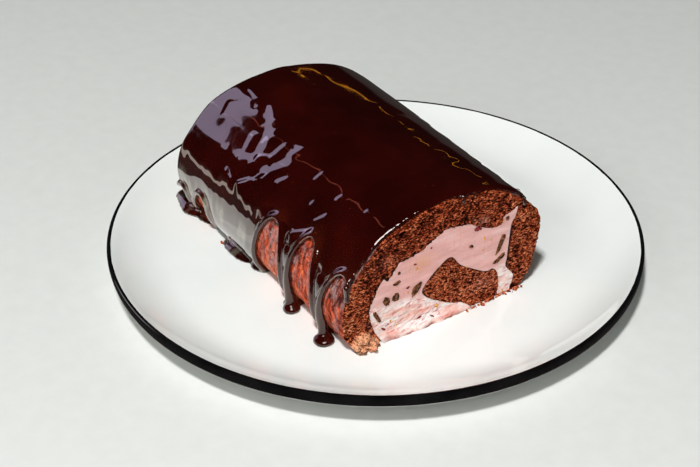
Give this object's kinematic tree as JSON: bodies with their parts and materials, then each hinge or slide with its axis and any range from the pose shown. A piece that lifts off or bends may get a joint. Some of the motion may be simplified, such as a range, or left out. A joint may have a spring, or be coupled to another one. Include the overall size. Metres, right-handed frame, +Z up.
{
  "type": "ice cream roll slice on plate",
  "caption": "Cut length of chocolate sponge roll filled with pink ice cream under a dark poured glaze, on a round white coupe plate with a black rim.",
  "frame": {"origin": "middle of the plate, on the surface that its foot ring stands on", "axes": "+X along the roll towards the cut face that shows, -Y towards the side with the long drips, +Z up"},
  "size_m": [0.2736, 0.2736, 0.0762],
  "materials": {
    "glazed_ceramic": "glazed white ceramic with a black rim",
    "chocolate_sponge": "open matte crumb",
    "ice_cream": "soft satin ice cream with flakes",
    "dark_glaze": "mirror-like poured chocolate glaze"
  },
  "bodies": {
    "root": {"plate": "glazed_ceramic", "sponge_wrap": "chocolate_sponge", "sponge_lid": "chocolate_sponge", "sponge_side": "chocolate_sponge", "sponge_core": "chocolate_sponge", "ice_cream": "ice_cream", "glaze": "dark_glaze"}
  },
  "joints": []
}
